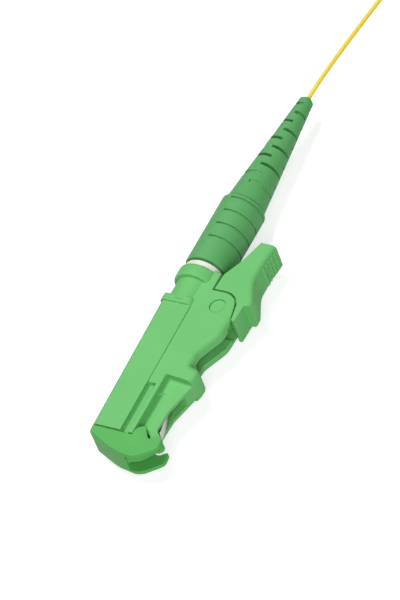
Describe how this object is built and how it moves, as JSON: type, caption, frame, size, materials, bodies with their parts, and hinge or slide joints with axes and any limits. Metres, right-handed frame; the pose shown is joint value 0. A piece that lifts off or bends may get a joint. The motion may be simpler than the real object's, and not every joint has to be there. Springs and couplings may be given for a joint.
{
  "type": "simplex fibre-optic plug with protective cap and release lever",
  "caption": "Green simplex fibre-optic plug with a hinged protective cap, a rocking release lever, a slotted bend-relief boot and a yellow fibre lead.",
  "frame": {"origin": "on the fibre's axis, where the full width of the ferrule starts at its tip", "axes": "+X back along the fibre towards the lead, -Y towards the release lever, +Z out of one flat side; the plug lies on its -Z side"},
  "size_m": [0.0931, 0.0184, 0.006],
  "materials": {
    "light_green_plastic": "moulded, satin",
    "dark_green_elastomer": "moulded, matt",
    "white_plastic": "moulded, satin",
    "zirconia": "ground and polished ceramic",
    "nickel_plated_brass": "turned and nickel plated",
    "spring_steel": "bright wire and strip",
    "crimped_metal": "plain, pressed",
    "clear_plastic": "extruded tube",
    "glass_fibre": "bare glass",
    "yellow_jacket": "extruded, smooth",
    "white_tie": "thin strip"
  },
  "bodies": {
    "plug": {"housing": "light_green_plastic", "cap_hinge_pin": "spring_steel", "cap_spring": "spring_steel", "lever_spring": "spring_steel", "ferrule_spring": "spring_steel", "retainer": "white_plastic", "crimp_sleeve": "crimped_metal", "guide_tube": "clear_plastic", "boot": "dark_green_elastomer", "fibre_lead": "yellow_jacket", "lead_tube": "yellow_jacket", "lead_coil": "yellow_jacket", "coil_tie": "white_tie"},
    "cap": {"protective_cap": "light_green_plastic"},
    "lever": {"release_lever": "light_green_plastic"},
    "ferrule_unit": {"ferrule": "zirconia", "glass_fibre": "glass_fibre", "ferrule_holder": "nickel_plated_brass"}
  },
  "joints": [
    {"name": "cap_hinge", "type": "hinge", "parent": "plug", "child": "cap", "pos_m": [-0.0021, -0.0061, 0], "axis": [0, 0, 1], "range_deg": [0, 95], "stiffness_Nm_per_rad": 0.002, "springref_deg": -34.38, "deforming": ["cap_spring"]},
    {"name": "lever_rock", "type": "hinge", "parent": "plug", "child": "lever", "pos_m": [0.0175, -0.005, 0], "axis": [0, 0, 1], "range_deg": [0, 4], "stiffness_Nm_per_rad": 0.1, "springref_deg": -5.73, "deforming": ["lever_spring"]},
    {"name": "ferrule_float", "type": "slide", "parent": "plug", "child": "ferrule_unit", "axis": [1, 0, 0], "range_m": [0, 0.001], "stiffness_N_per_m": 3000, "springref_m": -0.0025, "deforming": ["ferrule_spring"]}
  ]
}
